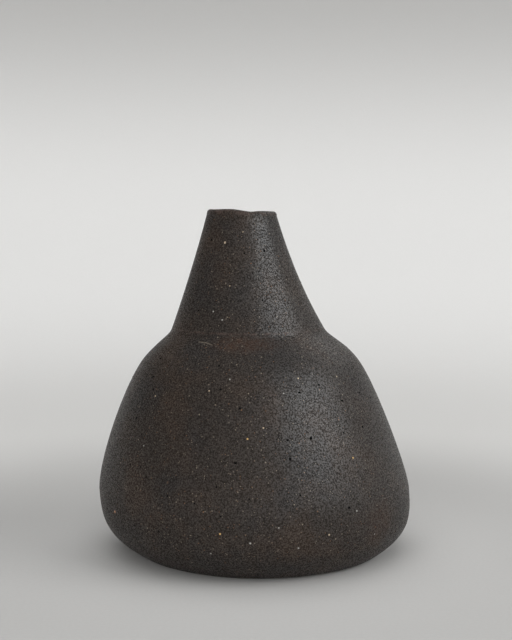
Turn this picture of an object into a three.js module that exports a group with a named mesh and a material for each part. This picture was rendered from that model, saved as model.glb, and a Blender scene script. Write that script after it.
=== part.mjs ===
// Stoneware bottle vase: a wide, heavy-bellied body that turns in over a soft shoulder, and a tall conical
// neck joined on at a crease. Units are millimetres, +Z is up, and the origin lies in the resting face,
// under the middle of the widest part. Each piece of clay that the potter joins is one mesh.
import * as THREE from "three";

// Overall sizes.
const height = 166; // resting face to rim
const bellyRadius = 76.2; // widest outside radius
const bellyHeight = 30.8; // where the outside is widest
const footRadius = 57; // circle that the vase stands on
const creaseRadius = 37; // outside radius where the neck meets the shoulder
const neckLength = 56.3; // crease to rim
const rimRadius = 16.4; // outside radius of the mouth

// Foot and underside.
const bevelHeight = 1.2; // the trimmed edge lifts clear of the table by this much
const bevelReach = 3.4; // how far the trimmed edge runs out past the resting circle
const undersideRise = 10.1; // height from the trimmed edge to the corner that the underside turns round
const undersideFullness = 0.94; // how closely the turn follows that corner, from 0 to 1
const bellySoftness = 0.31; // how early the turn lets go of that corner, from 0 to 1

// Shoulder.
const shoulderDrop = 15.7; // the shoulder's turning point below the crease
const shoulderReach = 15.6; // the shoulder's turning point outside the crease
const shoulderLean = 37.8; // degrees in from upright at the turning point
const creaseLean = 7; // degrees in from upright where the shoulder runs into the crease

// How far each curve holds its starting direction, as a share of the straight way across it.
const bellyPull = 0.158; // upright, above the belly
const shoulderPullBelow = 0.225; // at the shoulder's lean, below its turning point
const shoulderPullAbove = 0.49; // at the same lean, above it
const creasePull = 0.17; // at the crease's lean, below the crease

// Neck.
const neckHollowRadius = 26.1; // the point that draws the neck's sides in to a slight hollow curve
const neckHollowHeight = 22.9; // height of that point above the crease
const lipRound = 1.2; // radius of the rim's rounded edges

// Walls.
const bodyWall = 5.5;
const neckWall = 5; // at the crease
const lipWall = 4; // at the rim
const floorThickness = 8;
const seatHeight = 6; // height of the seat that the wall stands on
const lapDepth = 2.5; // depth of the lapped joint between shoulder and neck
const floorCoilSize = 7; // leg of the coil worked into the inside corner of floor and wall
const floorCoilHollow = 0.35; // how high on its back the coil's hollow face is drawn towards, from 0 to 1
const neckCoilReach = 6; // how far the inside coil covers the neck joint, up and down
const neckCoilBulge = 2.2; // how far that coil stands in from the wall
const glazeThickness = 0.6;
const glazeEndDepth = 3; // the glaze stops this far below the rim

// Clearances between neighbouring pieces.
const lapGap = 0.3; // beside and under a lapped joint
const skinGap = 0.15; // behind the glaze and behind a coil

// How far each level stands off the axis of the belly: the pot isn't quite true.
const footOffset = 2.3;
const shoulderOffset = -2.1;
const rimOffset = -6.4;
const bodySwayHeight = 85; // the body's sway dies away by this height
const neckSwayDrop = 10; // the neck's sway starts this far below the crease

// Steps along each stretch of the outline, and round the pot.
const undersideSteps = 7;
const flankSteps = 7;
const shoulderSteps = 6;
const neckSteps = 6;
const lipSteps = 3;
const coilSteps = 4;
const roundSteps = 48;
const leastStep = 0.3; // an outline's own points this close to where it is cut are left out

// Heights and radii worked out from the sizes above.
const creaseHeight = height - neckLength;
const footEdge = new THREE.Vector2(footRadius + bevelReach, bevelHeight);
const belly = new THREE.Vector2(bellyRadius, bellyHeight);
const shoulder = new THREE.Vector2(creaseRadius + shoulderReach, creaseHeight - shoulderDrop);
const crease = new THREE.Vector2(creaseRadius, creaseHeight);
const rim = new THREE.Vector2(rimRadius, height);

// Materials: bare dark clay, the rougher clay of the coils, and a glossy brown-black glaze.
const clay = () => new THREE.MeshStandardMaterial({ color: 0x302a27, roughness: 0.72, metalness: 0 });
const slip = () => new THREE.MeshStandardMaterial({ color: 0x3a322d, roughness: 0.8, metalness: 0 });
const glaze = () => new THREE.MeshStandardMaterial({ color: 0x1c1815, roughness: 0.18, metalness: 0 });

// A unit step that leans in towards the axis by this many degrees from upright.
function upward(leanDegrees) {
  const lean = THREE.MathUtils.degToRad(leanDegrees);
  return new THREE.Vector2(-Math.sin(lean), Math.cos(lean));
}

// Starts fast and settles, from 0 to 1.
function easeOut(share) {
  const rest = 1 - THREE.MathUtils.clamp(share, 0, 1);
  return 1 - rest * rest;
}

// Sideways offset of the pot's middle at a height.
function swayAt(z) {
  const neckStart = creaseHeight - neckSwayDrop;
  const bodyPart = (shoulderOffset - footOffset) * easeOut(z / bodySwayHeight);
  const neckPart = (rimOffset - shoulderOffset) * easeOut((z - neckStart) / (height - neckStart));
  return footOffset + bodyPart + neckPart;
}

const bellySway = swayAt(bellyHeight);

// Outside of the body, from the trimmed foot edge up to the crease.
function bodyOutside() {
  const corner = new THREE.Vector2(bellyRadius, bevelHeight + undersideRise);
  const underside = new THREE.CubicBezierCurve(
    footEdge,
    footEdge.clone().lerp(corner, undersideFullness),
    corner.clone().lerp(belly, bellySoftness),
    belly,
  );
  const flankSpan = belly.distanceTo(shoulder);
  const flank = new THREE.CubicBezierCurve(
    belly,
    belly.clone().addScaledVector(upward(0), flankSpan * bellyPull),
    shoulder.clone().addScaledVector(upward(shoulderLean), -flankSpan * shoulderPullBelow),
    shoulder,
  );
  const turnSpan = shoulder.distanceTo(crease);
  const turn = new THREE.CubicBezierCurve(
    shoulder,
    shoulder.clone().addScaledVector(upward(shoulderLean), turnSpan * shoulderPullAbove),
    crease.clone().addScaledVector(upward(creaseLean), -turnSpan * creasePull),
    crease,
  );
  return [
    ...underside.getPoints(undersideSteps),
    ...flank.getPoints(flankSteps).slice(1),
    ...turn.getPoints(shoulderSteps).slice(1),
  ];
}

// Outside of the neck, from the crease up to the rim.
function neckOutside() {
  const hollow = new THREE.Vector2(neckHollowRadius, creaseHeight + neckHollowHeight);
  return new THREE.QuadraticBezierCurve(crease, hollow, rim).getPoints(neckSteps);
}

// A unit step square to the way from one point to the next, towards the axis where the line rises.
function squareTo(from, to) {
  const along = to.clone().sub(from).normalize();
  return new THREE.Vector2(-along.y, along.x);
}

// The line that runs beside a line, at a distance towards the axis which may change along it. At each
// point it lies on the mitre, so the distance is kept square to the stretches on both sides.
function inside(points, startDistance, endDistance) {
  const last = points.length - 1;
  return points.map((point, i) => {
    const below = squareTo(points[Math.max(i - 1, 0)], points[Math.max(i, 1)]);
    const above = squareTo(points[Math.min(i, last - 1)], points[Math.min(i + 1, last)]);
    const mitre = below.clone().add(above).normalize();
    const distance = THREE.MathUtils.lerp(startDistance, endDistance, i / last);
    return point.clone().addScaledVector(mitre, distance / mitre.dot(above));
  });
}

// Radius of a rising line at a height, carried on past its ends.
function radiusAt(points, z) {
  const found = points.findIndex((point) => point.y >= z);
  const next = found < 0 ? points.length - 1 : Math.max(1, found);
  const low = points[next - 1];
  const high = points[next];
  return THREE.MathUtils.mapLinear(z, low.y, high.y, low.x, high.x);
}

// The stretch of a rising line between two heights, with a point at each.
function between(points, low, high) {
  return [
    new THREE.Vector2(radiusAt(points, low), low),
    ...points.filter((point) => point.y > low + leastStep && point.y < high - leastStep),
    new THREE.Vector2(radiusAt(points, high), high),
  ];
}

// A point moved off the wall by the clearance behind a coil.
function clearOfWall(point) {
  return new THREE.Vector2(point.x - skinGap, point.y);
}

// A coil's face: from its lower edge to its upper edge, drawn towards a point between them.
function coilFace(lower, towards, upper) {
  return new THREE.QuadraticBezierCurve(lower, towards, upper).getPoints(coilSteps);
}

// Points on a circle from one angle to another, in degrees.
function arc(centreRadius, centreHeight, radius, startDegrees, endDegrees) {
  return Array.from({ length: lipSteps + 1 }, (_, i) => {
    const angle = THREE.MathUtils.degToRad(THREE.MathUtils.lerp(startDegrees, endDegrees, i / lipSteps));
    return new THREE.Vector2(
      centreRadius + radius * Math.cos(angle),
      centreHeight + radius * Math.sin(angle),
    );
  });
}

const outerBody = bodyOutside();
const outerNeck = neckOutside();
const seatOuterRadius = radiusAt(outerBody, seatHeight);
const seatInnerRadius = seatOuterRadius - bodyWall;
const lapRadius = creaseRadius - bodyWall / 2;
const lapFloor = creaseHeight - lapDepth;
const tongueFoot = lapFloor + lapGap;
const floorCoilTop = floorThickness + floorCoilSize;
const lipMiddle = height - lipRound;

const bodyLining = inside(outerBody, bodyWall, bodyWall);
const innerBody = [
  new THREE.Vector2(seatInnerRadius, seatHeight),
  ...between(bodyLining, floorCoilTop, lapFloor),
];
const neckLining = inside(outerNeck, neckWall, lipWall);
const innerNeck = between(neckLining, tongueFoot, lipMiddle);

// The coil in the corner of floor and wall, and the coil over the inside of the neck joint.
const floorCoilBack = between(innerBody, floorThickness, floorCoilTop).map(clearOfWall);
const floorCoilFace = coilFace(
  new THREE.Vector2(floorCoilBack[0].x - floorCoilSize, floorThickness),
  floorCoilBack[0].clone().lerp(floorCoilBack.at(-1), floorCoilHollow),
  floorCoilBack.at(-1),
);
const neckCoilBack = [
  ...between(innerBody, lapFloor - neckCoilReach, lapFloor),
  ...between(innerNeck, tongueFoot, creaseHeight + neckCoilReach),
].map(clearOfWall);
const neckCoilFullest = new THREE.Vector2(
  innerNeck[0].x - 2 * neckCoilBulge,
  lapFloor - neckCoilReach / 2,
);
const neckCoilFace = coilFace(neckCoilBack[0], neckCoilFullest, neckCoilBack.at(-1));

// The line that the glaze covers, from the middle of the floor up to just below the rim.
const cavity = [
  new THREE.Vector2(0, floorThickness),
  ...floorCoilFace,
  ...between(innerBody, floorCoilTop, neckCoilFace[0].y).slice(1, -1),
  ...neckCoilFace,
  ...between(innerNeck, neckCoilFace.at(-1).y, height - glazeEndDepth).slice(1),
];

// Turns a closed outline, or one that starts and ends on the axis, and lets it follow the pot's sway.
function turned(name, outline, material) {
  const geometry = new THREE.LatheGeometry(outline, roundSteps);
  geometry.rotateX(Math.PI / 2);
  const position = geometry.getAttribute("position");
  for (let i = 0; i < position.count; i += 1) {
    position.setX(i, position.getX(i) + swayAt(position.getZ(i)) - bellySway);
  }
  geometry.computeVertexNormals();
  const mesh = new THREE.Mesh(geometry, material);
  mesh.name = name;
  return mesh;
}

// Floor disc: flat underneath, a trimmed edge that lifts off the table, and a raised middle that the
// wall stands round.
function baseSlab() {
  const stepRadius = seatInnerRadius - lapGap;
  return turned("base_slab", [
    new THREE.Vector2(0, 0),
    new THREE.Vector2(footRadius, 0),
    ...between(outerBody, bevelHeight, seatHeight),
    new THREE.Vector2(stepRadius, seatHeight),
    new THREE.Vector2(stepRadius, floorThickness),
    new THREE.Vector2(0, floorThickness),
  ], clay());
}

// Body wall: stands on the slab's seat, swells to the belly, turns in over the shoulder and ends in a
// collar with a step on its inner side for the neck.
function bodyWallRing() {
  const outside = between(outerBody, seatHeight, creaseHeight);
  return turned("body_wall", [
    ...outside,
    new THREE.Vector2(lapRadius, creaseHeight),
    new THREE.Vector2(lapRadius, lapFloor),
    ...innerBody.toReversed(),
    outside[0].clone(),
  ], clay());
}

// Neck: a tapering cone whose foot stands on the collar, with a lip below that laps inside it.
function neckCone() {
  const outside = outerNeck.filter((point) => point.y < lipMiddle);
  return turned("neck_cone", [
    ...outside,
    ...arc(radiusAt(outerNeck, lipMiddle) - lipRound, lipMiddle, lipRound, 0, 90),
    ...arc(radiusAt(innerNeck, lipMiddle) + lipRound, lipMiddle, lipRound, 90, 180),
    ...innerNeck.slice(0, -1).toReversed(),
    new THREE.Vector2(lapRadius - lapGap, tongueFoot),
    new THREE.Vector2(lapRadius - lapGap, creaseHeight),
    outside[0].clone(),
  ], clay());
}

// A coil of soft clay pressed into a corner: its back follows the wall and its face is the line given.
function coil(name, back, face) {
  return turned(name, [...back, ...face.slice(1, -1).toReversed(), back[0].clone()], slip());
}

// The glaze that makes the inside hold water: a thin skin over the floor, both coils and the wall.
function glazeLiner() {
  const back = inside(cavity, skinGap, skinGap);
  const face = inside(cavity, skinGap + glazeThickness, skinGap + glazeThickness);
  return turned("glaze_liner", [...back, ...face.toReversed()], glaze());
}

const vase = new THREE.Group();
vase.add(
  baseSlab(),
  bodyWallRing(),
  neckCone(),
  coil("floor_coil", floorCoilBack, floorCoilFace),
  coil("neck_coil", neckCoilBack, neckCoilFace),
  glazeLiner(),
);

export default vase;
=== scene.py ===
"""Looks of a dark stoneware bottle vase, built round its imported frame.

The pot is turned. Each piece is a shell spun from one outline, pushed a little out of true by the potter's
hand, and dressed in bare dark clay with pale grog, pinholes and a fine sandy skin. Lengths are metres unless
a name says otherwise, +Z is up, and the viewer stands at -Y. Angles round the pot start at the viewer and
grow towards +X.
"""

import logging
import math
import random
from dataclasses import dataclass
from enum import Enum
from typing import Iterable, Sequence

import bmesh
import bpy
import numpy as np
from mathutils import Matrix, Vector
from mathutils.geometry import interpolate_bezier
from mathutils.kdtree import KDTree


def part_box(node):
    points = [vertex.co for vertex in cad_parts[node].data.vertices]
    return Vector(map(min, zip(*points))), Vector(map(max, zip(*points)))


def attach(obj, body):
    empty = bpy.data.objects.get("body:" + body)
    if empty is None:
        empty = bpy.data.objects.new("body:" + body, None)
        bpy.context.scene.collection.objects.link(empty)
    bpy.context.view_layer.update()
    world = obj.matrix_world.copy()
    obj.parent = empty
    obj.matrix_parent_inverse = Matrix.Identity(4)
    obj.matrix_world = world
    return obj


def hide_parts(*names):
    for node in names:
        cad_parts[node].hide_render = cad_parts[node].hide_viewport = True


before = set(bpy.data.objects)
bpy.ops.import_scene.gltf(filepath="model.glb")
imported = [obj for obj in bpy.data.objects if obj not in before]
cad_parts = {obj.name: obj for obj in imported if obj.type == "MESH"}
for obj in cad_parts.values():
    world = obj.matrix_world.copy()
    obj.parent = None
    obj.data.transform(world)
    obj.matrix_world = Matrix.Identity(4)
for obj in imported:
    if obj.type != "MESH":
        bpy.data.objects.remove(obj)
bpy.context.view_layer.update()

MM = 0.001
ROOT = "root"
COARSE_STEPS = 32
SAME = 1e-7  # lengths closer than this are the same
OUTLINE_STEP = 0.25 * MM  # between points of the pot's outside
SHARP_EDGE = 38  # degrees between faces
UV_MARGIN = 0.004  # kept clear round each half of the bake layout
UV_RISE = 0.49  # height of each half
LIGHT_AIM = (0.0, 0.0, 0.06)
LOG = logging.getLogger("vase")


class Slot(Enum):
    """Material slots of the record."""

    STONEWARE = "stoneware"
    LUTING = "luting_clay"
    GLAZE = "liner_glaze"


class Tone(Enum):
    """Colours that a grain of grog fires to, as linear red, green and blue."""

    CREAM = (0.42, 0.34, 0.25)
    STRAW = (0.50, 0.33, 0.14)
    PEACH = (0.55, 0.31, 0.19)
    CHALK = (0.36, 0.35, 0.33)
    DULL = (0.13, 0.11, 0.09)
    DIM = (0.09, 0.075, 0.062)


# ---------------------------------------------------------------------------------------------------------
# Outline and form
# ---------------------------------------------------------------------------------------------------------


def leaning(degrees: float) -> Vector:
    """A unit step in the outline's plane that leans in from upright by this many degrees."""
    return Vector((-math.sin(math.radians(degrees)), math.cos(math.radians(degrees))))


def as_rows(points: Sequence[Vector]) -> np.ndarray:
    """Points of an outline, one a row."""
    return np.array([tuple(p) for p in points])


def vectors(line: np.ndarray) -> list[Vector]:
    """Rows as points of an outline."""
    return [Vector((float(r), float(z))) for r, z in line]


def run_along(line: np.ndarray) -> np.ndarray:
    """How far along a line each of its points lies."""
    return np.concatenate([[0.0], np.cumsum(np.linalg.norm(np.diff(line, axis=0), axis=1))])


def curve(start: Vector, leave: Vector, arrive: Vector, end: Vector, points: int = 80) -> list[Vector]:
    """Points along a Bezier stretch of the outline.

    Args:
        start: Where the stretch starts, as radius and height.
        leave: The handle that it leaves towards.
        arrive: The handle that it arrives from.
        end: Where it ends.
        points: How many points to give.

    Returns:
        The points, both ends included.
    """
    ends = [Vector((p.x, p.y, 0.0)) for p in (start, leave, arrive, end)]
    return [p.to_2d() for p in interpolate_bezier(*ends, points)]


def evenly(points: Sequence[Vector], step: float) -> list[Vector]:
    """The same line with its points spread evenly, about a step apart, both ends kept."""
    line = as_rows(points)
    run = run_along(line)
    at = np.linspace(0.0, run[-1], max(2, round(run[-1] / step) + 1))
    return vectors(np.stack([np.interp(at, run, line[:, 0]), np.interp(at, run, line[:, 1])], axis=1))


def between(points: Sequence[Vector], low: float, high: float) -> list[Vector]:
    """The part of a rising line between two heights, cut square at both."""
    cut = [Vector((radius_at(points, low), low))]
    cut += [p for p in points if low < p.y < high]
    return cut + [Vector((radius_at(points, high), high))]


def radius_at(points: Sequence[Vector], height: float) -> float:
    """Radius of a rising line at a height."""
    line = as_rows(points)
    return float(np.interp(height, line[:, 1], line[:, 0]))


def inside(points: Sequence[Vector], start: float, end: float) -> list[Vector]:
    """The line beside a rising line, towards the axis, at a distance that may change along it."""
    line = as_rows(points)
    along = np.gradient(line, axis=0)
    along /= np.linalg.norm(along, axis=1)[:, None]
    away = np.linspace(start, end, len(line))[:, None]
    beside = line + away * np.stack([-along[:, 1], along[:, 0]], axis=1)
    return vectors(beside)


@dataclass(frozen=True)
class Outline:
    """The pot's outside and its hollow, read from the frame where the frame has the size."""

    height: float
    crease_height: float
    seat_height: float
    floor: float
    belly_radius: float
    belly_height: float = 30.8 * MM
    foot_radius: float = 57.0 * MM
    bevel_height: float = 1.2 * MM
    bevel_reach: float = 3.4 * MM
    underside_rise: float = 10.1 * MM
    underside_fullness: float = 0.94
    belly_softness: float = 0.31
    belly_pull: float = 0.158
    crease_radius: float = 37.0 * MM
    shoulder_drop: float = 15.7 * MM
    shoulder_reach: float = 15.6 * MM
    shoulder_lean: float = 37.8
    shoulder_pull_below: float = 0.225
    shoulder_pull_above: float = 0.49
    crease_lean: float = 7.0
    crease_pull: float = 0.17
    neck_hollow_radius: float = 26.1 * MM
    neck_hollow_rise: float = 22.9 * MM
    rim_radius: float = 16.4 * MM
    lip_round: float = 2.4 * MM
    body_wall: float = 5.5 * MM
    neck_wall: float = 5.0 * MM
    lip_wall: float = 4.0 * MM
    lap_depth: float = 2.5 * MM
    lap_gap: float = 0.3 * MM
    floor_coil: float = 7.0 * MM
    floor_coil_hollow: float = 0.35
    neck_coil_reach: float = 6.0 * MM
    neck_coil_bulge: float = 2.2 * MM
    skin_gap: float = 0.15 * MM
    glaze: float = 0.6 * MM
    glaze_end: float = 3.0 * MM
    blend: float = 1.6 * MM

    @classmethod
    def from_frame(cls) -> "Outline":
        """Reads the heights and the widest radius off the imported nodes."""
        wall_low, wall_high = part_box("body_wall")
        return cls(
            height=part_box("neck_cone")[1].z,
            crease_height=wall_high.z,
            seat_height=wall_low.z,
            floor=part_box("base_slab")[1].z,
            belly_radius=(wall_high.y - wall_low.y) / 2,
        )

    def outside(self) -> list[Vector]:
        """The whole outside in one line, from the trimmed foot edge up to the rim, softened at the crease."""
        foot = Vector((self.foot_radius + self.bevel_reach, self.bevel_height))
        corner = Vector((self.belly_radius, self.bevel_height + self.underside_rise))
        belly = Vector((self.belly_radius, self.belly_height))
        crease = Vector((self.crease_radius, self.crease_height))
        shoulder = crease + Vector((self.shoulder_reach, -self.shoulder_drop))
        rim = Vector((self.rim_radius, self.height))
        hollow = Vector((self.neck_hollow_radius, self.crease_height + self.neck_hollow_rise))
        lean = leaning(self.shoulder_lean)
        flank = (shoulder - belly).length
        turn = (crease - shoulder).length
        stretches = [
            curve(
                foot,
                foot.lerp(corner, self.underside_fullness),
                corner.lerp(belly, self.belly_softness),
                belly,
            ),
            curve(
                belly,
                belly + leaning(0) * flank * self.belly_pull,
                shoulder - lean * flank * self.shoulder_pull_below,
                shoulder,
            ),
            curve(
                shoulder,
                shoulder + lean * turn * self.shoulder_pull_above,
                crease - leaning(self.crease_lean) * turn * self.crease_pull,
                crease,
            ),
            curve(crease, crease.lerp(hollow, 2 / 3), rim.lerp(hollow, 2 / 3), rim),
        ]
        line = [p for i, stretch in enumerate(stretches) for p in stretch[min(i, 1):]]
        return self.softened(evenly(line, OUTLINE_STEP))

    @property
    def lap_radius(self) -> float:
        """Radius of the step in the collar."""
        return self.crease_radius - self.body_wall / 2

    @property
    def lap_floor(self) -> float:
        """Height of the step in the collar."""
        return self.crease_height - self.lap_depth

    @property
    def tongue_foot(self) -> float:
        """Height of the foot of the neck's tongue."""
        return self.lap_floor + self.lap_gap

    def seat_inner_radius(self, outside: Sequence[Vector]) -> float:
        """Inner radius of the seat that the wall stands on."""
        return radius_at(outside, self.seat_height) - self.body_wall

    def body_lining(self, outside: Sequence[Vector]) -> list[Vector]:
        """The inside of the body wall, from the seat up to the step in the collar."""
        body = [p for p in outside if p.y <= self.crease_height]
        lining = inside(body, self.body_wall, self.body_wall)
        seat = Vector((self.seat_inner_radius(outside), self.seat_height))
        return [seat] + between(lining, self.floor + self.floor_coil, self.lap_floor)

    def neck_lining(self, outside: Sequence[Vector]) -> list[Vector]:
        """The inside of the neck, from the tongue's foot up to where the lip starts to turn."""
        neck = [p for p in outside if p.y >= self.crease_height - self.lap_depth]
        lining = inside(neck, self.neck_wall, self.lip_wall)
        return between(lining, self.tongue_foot, self.height - self.lip_round)

    def coil_lines(self, outside: Sequence[Vector], at_neck: bool) -> tuple[list[Vector], list[Vector]]:
        """A coil's two sides, each from its lower edge to its upper edge.

        Args:
            outside: The pot's outside.
            at_neck: The coil over the neck joint, not the one in the corner of the floor.

        Returns:
            The back, which follows the wall, and the pressed face.
        """
        wall = self.body_lining(outside)
        if at_neck:
            reach = self.neck_coil_reach
            lining = self.neck_lining(outside)
            back = between(wall, self.lap_floor - reach, self.lap_floor)
            back += between(lining, self.tongue_foot, self.crease_height + reach)
            fullest = Vector((lining[0].x - 2 * self.neck_coil_bulge, self.lap_floor - reach / 2))
        else:
            back = between(wall, self.floor, self.floor + self.floor_coil)
        back = [p - Vector((self.skin_gap, 0)) for p in back]
        lower, upper = back[0], back[-1]
        if not at_neck:
            fullest = lower.lerp(upper, self.floor_coil_hollow)
            lower = lower - Vector((self.floor_coil, 0))
        return back, curve(lower, lower.lerp(fullest, 2 / 3), upper.lerp(fullest, 2 / 3), upper, 24)

    def cavity(self, outside: Sequence[Vector]) -> list[Vector]:
        """The line that the glaze covers, from the middle of the floor to just below the rim."""
        corner = self.coil_lines(outside, False)[1]
        joint = self.coil_lines(outside, True)[1]
        wall = between(self.body_lining(outside), self.floor + self.floor_coil, joint[0].y)[1:-1]
        neck = between(self.neck_lining(outside), joint[-1].y, self.height - self.glaze_end)[1:]
        return evenly([Vector((0, self.floor)), *corner, *wall, *joint, *neck], 0.5 * MM)

    def softened(self, line: list[Vector]) -> list[Vector]:
        """Works the crease into a soft hollow, as a wet finger does, and leaves the rest as it is."""
        spots = as_rows(line)
        half = 16
        reach = np.arange(-half, half + 1)
        weight = np.exp(-0.5 * (reach * OUTLINE_STEP / self.blend) ** 2)
        padded = np.pad(spots[:, 0], half, mode="reflect", reflect_type="odd")
        smooth = np.convolve(padded, weight / weight.sum(), mode="valid")
        near = np.exp(-0.5 * ((spots[:, 1] - self.crease_height) / (3 * self.blend)) ** 2)
        radius = spots[:, 0] * (1 - near) + smooth * near
        return vectors(np.stack([radius, spots[:, 1]], axis=1))


@dataclass(frozen=True)
class Sway:
    """How far the middle of the pot stands to the side at each height."""

    height: float
    crease_height: float
    belly_height: float
    foot: float = 2.3 * MM
    shoulder: float = -2.3 * MM
    rim: float = -6.5 * MM
    body_span: float = 85.0 * MM
    neck_drop: float = 10.0 * MM

    def at(self, z: np.ndarray | float) -> np.ndarray:
        """Sideways offset of the middle at one or more heights."""
        return self._raw(np.asarray(z, float)) - self._raw(np.asarray(self.belly_height))

    def _raw(self, z: np.ndarray) -> np.ndarray:
        """Offset before it is measured from the belly's."""
        start = self.crease_height - self.neck_drop
        body = (self.shoulder - self.foot) * self._ease(z / self.body_span)
        neck = (self.rim - self.shoulder) * self._ease((z - start) / (self.height - start))
        return self.foot + body + neck

    @staticmethod
    def _ease(share: np.ndarray) -> np.ndarray:
        """Starts fast and settles, from 0 to 1."""
        return 1 - (1 - np.clip(share, 0, 1)) ** 2


@dataclass(frozen=True)
class HandWork:
    """Slow unevenness that hands leave: waves round and up the wall, and a rim that isn't level."""

    swell: float = 0.16 * MM
    ripple: float = 0.012 * MM
    rim_rise: float = 1.0 * MM
    rim_dip: float = 0.22 * MM
    rim_step: float = 0.3
    rim_slope: float = 0.7
    waves: int = 9
    seed: int = 11

    def push(self, angle: np.ndarray, z: np.ndarray) -> np.ndarray:
        """Outward push at an angle and a height, for every point of the outside."""
        draw = random.Random(self.seed)
        total = np.zeros_like(z)
        for n in range(self.waves):
            around = draw.randint(2, 7)
            climb = draw.uniform(-95.0, 95.0)
            phase = draw.uniform(0, 2 * math.pi)
            total += np.cos(around * angle + climb * z + phase) / (1 + 0.35 * n)
        throw = np.sin(2 * math.pi * z / (7.5 * MM) + 1.4 * np.sin(2 * angle) + angle)
        return self.swell * total / 2.2 + self.ripple * throw

    def rim_lift(self, angle: np.ndarray) -> np.ndarray:
        """How far the rim stands above or below its level height round the mouth."""
        side = np.sin(angle)
        step = np.clip((self.rim_step - side) / self.rim_slope, 0, 1)
        high = self.rim_rise * step * step * (3 - 2 * step)
        dip = -self.rim_dip * np.exp(-(((side - self.rim_step) / 0.16) ** 2))
        return high + dip + 0.06 * MM * np.cos(5 * angle + 0.6)


# ---------------------------------------------------------------------------------------------------------
# Meshes
# ---------------------------------------------------------------------------------------------------------


@dataclass
class Form:
    """The pot's shape, shared by every piece that is spun from it."""

    outline: Outline
    sway: Sway
    hand: HandWork
    still_below: float = 2 * MM
    eased_over: float = 8 * MM
    still_middle: float = 14 * MM
    rim_reach: float = 22 * MM

    def __post_init__(self) -> None:
        """Draws the outside once."""
        self.outside = self.outline.outside()

    def shaped(self, co: np.ndarray, worked: float) -> np.ndarray:
        """Moves true, round points to where they are on the pot.

        Args:
            co: Points of a shell spun true about the axis, one a row.
            worked: Share of the hand's unevenness that reaches the points, from 0 to 1.

        Returns:
            The moved points.
        """
        radius = np.hypot(co[:, 0], co[:, 1])
        angle = np.arctan2(co[:, 0], -co[:, 1])
        z = co[:, 2].copy()
        grounded = np.clip((z - self.still_below) / self.eased_over, 0, 1)
        reach = np.clip(radius / self.still_middle, 0, 1)
        push = self.hand.push(angle, z) * grounded * reach * worked
        top = np.clip((z - self.outline.height + self.rim_reach) / self.rim_reach, 0, 1) ** 2
        lifted = z + self.hand.rim_lift(angle) * top * (1 if worked else 0)
        return np.stack([
            (radius + push) * np.sin(angle) + self.sway.at(z),
            -(radius + push) * np.cos(angle),
            lifted,
        ], axis=1)

    def spot(self, degrees: float, z: float) -> tuple[Vector, Vector]:
        """A place on the outside and its outward normal, from an angle round the pot and a height."""
        angle = math.radians(degrees)
        step = 0.5 * MM
        below, above = radius_at(self.outside, z - step), radius_at(self.outside, z + step)
        slope = (above - below) / (2 * step)
        radius = radius_at(self.outside, z)
        true = np.array([[radius * math.sin(angle), -radius * math.cos(angle), z]])
        place = Vector(self.shaped(true, 1.0)[0])
        return place, Vector((math.sin(angle), -math.cos(angle), -slope)).normalized()


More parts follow.
